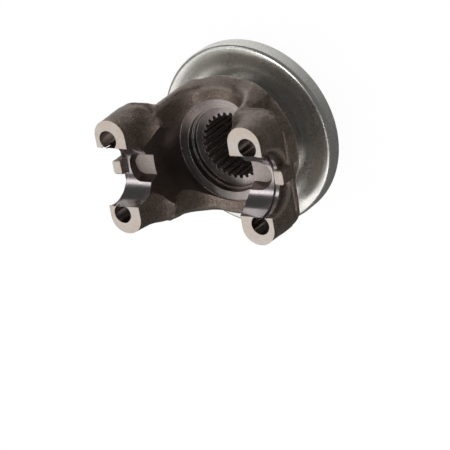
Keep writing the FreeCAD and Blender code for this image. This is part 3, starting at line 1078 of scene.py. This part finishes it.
@dataclass
class Shield:
    """The pressed dust shield, turned from its profile."""

    collar_radius_mm: float = 32.55
    flat_radius_mm: float = 45.5
    dish_radius_mm: float = 52.5
    rim_radius_mm: float = 57.0
    wall_mm: float = 1.6
    flat_depth_mm: float = 71.0
    front_depth_mm: float = 69.0
    rim_depth_mm: float = 79.2
    collar_length_mm: float = 5.0
    bend_mm: float = 14.0
    collar_bend_mm: float = 1.2
    rim_corner_mm: float = 2.4
    lip_mm: float = 0.3
    slant_mm: float = 0.6
    wave_mm: float = 0.22
    wave_scale: float = 45.0
    wave_from_mm: float = 42.0
    wave_full_mm: float = 53.0
    weld_mm: float = 0.004
    sharp_deg: float = 35.0
    bend_steps: int = 6
    segments: int = 192
    seed: int = 3

    def build(self, effects: Effects) -> list[bpy.types.Object]:
        """Make the dressed shield.

        Args:
            effects: The shared node groups.

        Returns:
            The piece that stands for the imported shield.
        """
        top = PAD_HEIGHT / MM
        recipe = Recipe("pressed_plate", {
            "Collar Radius": self.collar_radius_mm * MM, "Flat Radius": self.flat_radius_mm * MM,
            "Dish Radius": self.dish_radius_mm * MM, "Rim Radius": self.rim_radius_mm * MM,
            "Wall": self.wall_mm * MM, "Flat Height": (top - self.flat_depth_mm) * MM,
            "Front Height": (top - self.front_depth_mm) * MM, "Rim Height": (top - self.rim_depth_mm) * MM,
            "Collar Height": (top - self.flat_depth_mm - self.collar_length_mm) * MM,
            "Bend": self.bend_mm * MM, "Collar Bend": self.collar_bend_mm * MM, "Bend Steps": self.bend_steps,
            "Rim Corner": self.rim_corner_mm * MM, "Lip": self.lip_mm * MM, "Slant": self.slant_mm * MM,
            "Wave": self.wave_mm * MM, "Wave Scale": self.wave_scale, "Wave From": self.wave_from_mm * MM,
            "Wave Full": self.wave_full_mm * MM, "Weld": self.weld_mm * MM, "Segments": self.segments,
            "Seed": self.seed, "Material": ZINC.build(effects)})
        profile = self._profile(recipe)
        recipe.close(self._turned(recipe, profile))
        piece = shade(recipe.piece("shield_plate"), self.sharp_deg)
        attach(piece, "root")
        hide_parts("dust_shield")
        return [piece]

    @staticmethod
    def _profile(recipe: Recipe) -> bpy.types.NodeSocket:
        """Add the closed outline of the plate's wall, with its bends rounded.

        Args:
            recipe: The shield's tree.

        Returns:
            Socket of the outline curve, radius along X and height along Z.
        """
        tree, given = recipe.tree, recipe.given
        wall = given["Wall"]
        collar, flat, dish, rim = (given[f"{name} Radius"] for name in ("Collar", "Flat", "Dish", "Rim"))
        rim_in = tree.math("SUBTRACT", rim, wall)
        flat_low = tree.math("SUBTRACT", given["Flat Height"], wall)
        front_low = tree.math("SUBTRACT", given["Front Height"], wall)
        collar_out = tree.math("ADD", collar, wall)
        bend, corner, lip = given["Bend"], given["Rim Corner"], given["Lip"]
        inner_bend = tree.math("ADD", bend, wall)
        inner_corner = tree.math("SUBTRACT", corner, wall)
        flat_in, dish_in = (tree.math("ADD", radius, given["Slant"]) for radius in (flat, dish))
        outline = [
            (collar, given["Flat Height"], lip), (flat, given["Flat Height"], inner_bend),
            (dish, given["Front Height"], bend), (rim, given["Front Height"], corner),
            (rim, given["Rim Height"], lip), (rim_in, given["Rim Height"], lip),
            (rim_in, front_low, inner_corner), (dish_in, front_low, inner_bend),
            (flat_in, flat_low, bend), (collar_out, flat_low, given["Collar Bend"]),
            (collar_out, given["Collar Height"], lip), (collar, given["Collar Height"], lip)]
        number = tree.add("GeometryNodeInputIndex").outputs[0]
        places = [tree.point(radius, 0.0, height) for radius, height, _ in outline]
        line = tree.add("GeometryNodeMeshLine", {"Count": len(outline)})
        shaped = tree.add("GeometryNodeSetPosition", {"Geometry": line.outputs[0],
                                                      "Position": tree.pick(number, places, "VECTOR")})
        curve = tree.add("GeometryNodeMeshToCurve", {0: shaped.outputs[0]})
        closed = tree.add("GeometryNodeSetSplineCyclic", {0: curve.outputs[0], "Cyclic": True})
        rounding = tree.pick(number, [radius for _, _, radius in outline], "FLOAT")
        rounded = tree.add("GeometryNodeFilletCurve", {
            "Curve": closed.outputs[0], "Count": given["Bend Steps"], "Radius": rounding,
            "Limit Radius": True}, mode="POLY")
        return rounded.outputs[0]

    @staticmethod
    def _turned(recipe: Recipe, profile: bpy.types.NodeSocket) -> bpy.types.NodeSocket:
        """Sweep the outline round the Z axis, closed both ways, and let the rim waver a little.

        Args:
            recipe: The shield's tree.
            profile: Socket of the outline curve.

        Returns:
            Socket of the turned shell.
        """
        tree, given = recipe.tree, recipe.given
        counts = tree.add("GeometryNodeAttributeDomainSize", {0: profile}, component="CURVE").outputs
        points = counts["Point Count"]
        rows = tree.math("ADD", given["Segments"], 1.0)
        grid = tree.add("GeometryNodeMeshGrid", {"Vertices X": tree.math("ADD", points, 1.0),
                                                 "Vertices Y": rows})
        number = tree.add("GeometryNodeInputIndex").outputs[0]
        column = tree.math("FLOOR", tree.math("DIVIDE", tree.math("ADD", number, 0.5), rows))
        row = tree.math("SUBTRACT", number, tree.math("MULTIPLY", column, rows))
        wrapped = tree.math("MODULO", column, points)
        own = tree.add("GeometryNodeInputPosition").outputs[0]
        sampled = tree.add("GeometryNodeSampleIndex", {"Geometry": profile, "Value": own, "Index": wrapped},
                           data_type="FLOAT_VECTOR", domain="POINT").outputs[0]
        split = tree.split(sampled)
        angle = tree.math("MULTIPLY", tree.math("DIVIDE", row, given["Segments"]), 2.0 * math.pi)
        east = tree.math("MULTIPLY", split[0], tree.math("COSINE", angle))
        north = tree.math("MULTIPLY", split[0], tree.math("SINE", angle))
        ripple = tree.add("ShaderNodeTexNoise", {
            "Vector": tree.point(east, north), "W": given["Seed"], "Scale": given["Wave Scale"],
            "Detail": 1.0}, noise_dimensions="4D").outputs[0]
        outer = tree.ramp(split[0], given["Wave From"], given["Wave Full"])
        sink = tree.math("MULTIPLY", tree.math("MULTIPLY", ripple, given["Wave"]), outer)
        where = tree.point(east, north, tree.math("SUBTRACT", split[2], sink))
        swept = tree.add("GeometryNodeSetPosition", {"Geometry": grid.outputs[0], "Position": where})
        sealed = tree.add("GeometryNodeMergeByDistance", {"Geometry": swept.outputs[0],
                                                          "Distance": given["Weld"]})
        return tree.add("GeometryNodeFlipFaces", {0: sealed.outputs[0]}).outputs[0]


@dataclass(frozen=True)
class Lamp:
    """A softbox that faces the part."""

    name: str
    toward: tuple[float, float, float]
    distance: float
    width: float
    height: float
    level: float
    aim_height: float = 0.05

    def build(self) -> bpy.types.Object:
        """Add the lamp, with its power worked out from how bright its face is.

        Returns:
            The lamp object.
        """
        data = bpy.data.lights.new(self.name, "AREA")
        data.shape = "RECTANGLE"
        data.size = self.width
        data.size_y = self.height
        data.energy = self.level * math.pi * self.width * self.height
        lamp = put(self.name, data)
        middle = Vector((0.0, 0.0, self.aim_height))
        lamp.location = middle + Vector(self.toward).normalized() * self.distance
        lamp.rotation_euler = (middle - lamp.location).to_track_quat("-Z", "Y").to_euler()
        return lamp


@dataclass
class Studio:
    """Camera, lamps, world and floor."""

    camera_place: tuple[float, float, float] = (0.6114, 0.3898, 0.9103)
    camera_back: tuple[float, float, float] = (0.5386, 0.3795, 0.7523)
    camera_up: tuple[float, float, float] = (-0.0712, 0.9101, -0.4081)
    lens_mm: float = 155.8
    sensor_mm: float = 36.0
    clip_start: float = 0.01
    sky_low: float = 0.9
    sky_high: float = 0.6
    sky_top: float = 0.9
    mirrored: float = 0.08
    floor_size: float = 6.0
    floor_white: float = 0.9
    floor_glow: float = 0.97
    floor_mirrored: float = 0.85
    # Painted shadow under the bore, and painted pool of light beside the part, that the metal mirrors in the
    # floor.
    dark_middle: tuple[float, float, float] = (-0.003, -0.009, 0.0)
    dark_span: tuple[float, float] = (0.02, 0.03)
    pool_middle: tuple[float, float, float] = (-0.07, 0.11, 0.0)
    pool_span: tuple[float, float] = (0.03, 0.19)
    lamps: tuple[Lamp, ...] = (
        Lamp("main_box", (-0.58, -0.5, 0.7), 1.7, 1.9, 1.5, 1.05),
        Lamp("strip_box", (-0.56, 0.5, 0.66), 1.6, 0.9, 0.26, 2.3),
        Lamp("top_box", (-0.2, 0.14, 0.95), 1.5, 0.55, 0.5, 4.0),
        Lamp("over_box", (0.06, -0.2, 0.96), 1.5, 0.45, 0.4, 4.0),
        Lamp("side_box", (0.16, -0.64, 0.75), 1.5, 0.6, 0.4, 2.8),
        Lamp("front_box", (0.8, 0.5, 0.4), 1.6, 0.35, 0.35, 0.15),
    )

    def camera(self) -> bpy.types.Object:
        """Add the camera at the photograph's viewing angle.

        Returns:
            The camera object.
        """
        data = bpy.data.cameras.new("camera")
        data.lens = self.lens_mm
        data.sensor_width = self.sensor_mm
        data.clip_start = self.clip_start
        camera = put("camera", data)
        back = Vector(self.camera_back).normalized()
        right = Vector(self.camera_up).cross(back).normalized()
        turn = Matrix((right, back.cross(right), back)).transposed().to_4x4()
        camera.matrix_world = Matrix.Translation(self.camera_place) @ turn
        bpy.context.scene.camera = camera
        return camera

    def world(self) -> None:
        """Light the scene from a soft grey sky that is dark where metal mirrors it."""
        world = bpy.data.worlds.new("studio")
        bpy.context.scene.world = world
        tree = cleared(world)
        up = tree.split(tree.add("ShaderNodeTexCoord").outputs["Generated"])[2]
        path = tree.add("ShaderNodeLightPath").outputs
        mirrored = tree.math("MAXIMUM", path["Is Glossy Ray"], path["Is Transmission Ray"])
        soft = tree.ramp(up, 0.0, self.sky_top, self.sky_low, self.sky_high)
        level = tree.math("MULTIPLY_ADD", mirrored, tree.math("SUBTRACT", self.mirrored, soft), soft)
        level = tree.math("MAXIMUM", level, path["Is Camera Ray"])
        sky = tree.add("ShaderNodeBackground", {"Color": WHITE, "Strength": level})
        tree.add("ShaderNodeOutputWorld", {"Surface": sky.outputs[0]})

    def floor(self) -> bpy.types.Object:
        """Add a white floor that keeps a faint shadow.

        Mirrored in the metal it is a painted pool of light beside the part, with a painted shadow under the
        bore.

        Returns:
            The floor object.
        """
        half = self.floor_size / 2
        mesh = bpy.data.meshes.new("floor")
        corners = [(-half, -half, 0), (half, -half, 0), (half, half, 0), (-half, half, 0)]
        mesh.from_pydata(corners, [], [(0, 1, 2, 3)])
        floor = put("floor", mesh)
        material = bpy.data.materials.new("floor_white")
        tree = cleared(material)
        path = tree.add("ShaderNodeLightPath").outputs
        place = tree.place()
        # Painted shadow under the bore and painted pool of light, seen only in reflections.
        unshadowed = tree.ramp(tree.measure("DISTANCE", place, self.dark_middle), *self.dark_span)
        lit = tree.ramp(tree.measure("DISTANCE", place, self.pool_middle), *self.pool_span,
                        self.floor_mirrored, self.mirrored)
        pool = tree.math("MULTIPLY", unshadowed, lit)
        mirrored = tree.math("MAXIMUM", path["Is Glossy Ray"], path["Is Transmission Ray"])
        share = tree.math("MAXIMUM", tree.math("MULTIPLY", path["Is Camera Ray"], self.floor_glow), mirrored)
        strength = tree.math("MAXIMUM", path["Is Camera Ray"], pool)
        white = (self.floor_white, self.floor_white, self.floor_white, 1.0)
        matt = tree.add("ShaderNodeBsdfDiffuse", {"Color": white})
        glow = tree.add("ShaderNodeEmission", {"Color": WHITE, "Strength": strength})
        both = tree.add("ShaderNodeMixShader", {0: share, 1: matt.outputs[0], 2: glow.outputs[0]})
        tree.add("ShaderNodeOutputMaterial", {"Surface": both.outputs[0]})
        mesh.materials.append(material)
        return floor

    def build(self) -> None:
        """Set the whole studio up."""
        self.camera()
        self.world()
        self.floor()
        for lamp in self.lamps:
            lamp.build()
        bpy.context.scene.view_settings.view_transform = "Standard"


def main() -> None:
    """Build the pieces in order, set the studio up and note the sizes."""
    effects = Effects()
    for part in (Forging(), Shield()):
        for piece in part.build(effects):
            log.info("%s: %d faces", piece.name, len(piece.data.polygons))
    Studio().build()


if __name__ == "__main__":
    main()
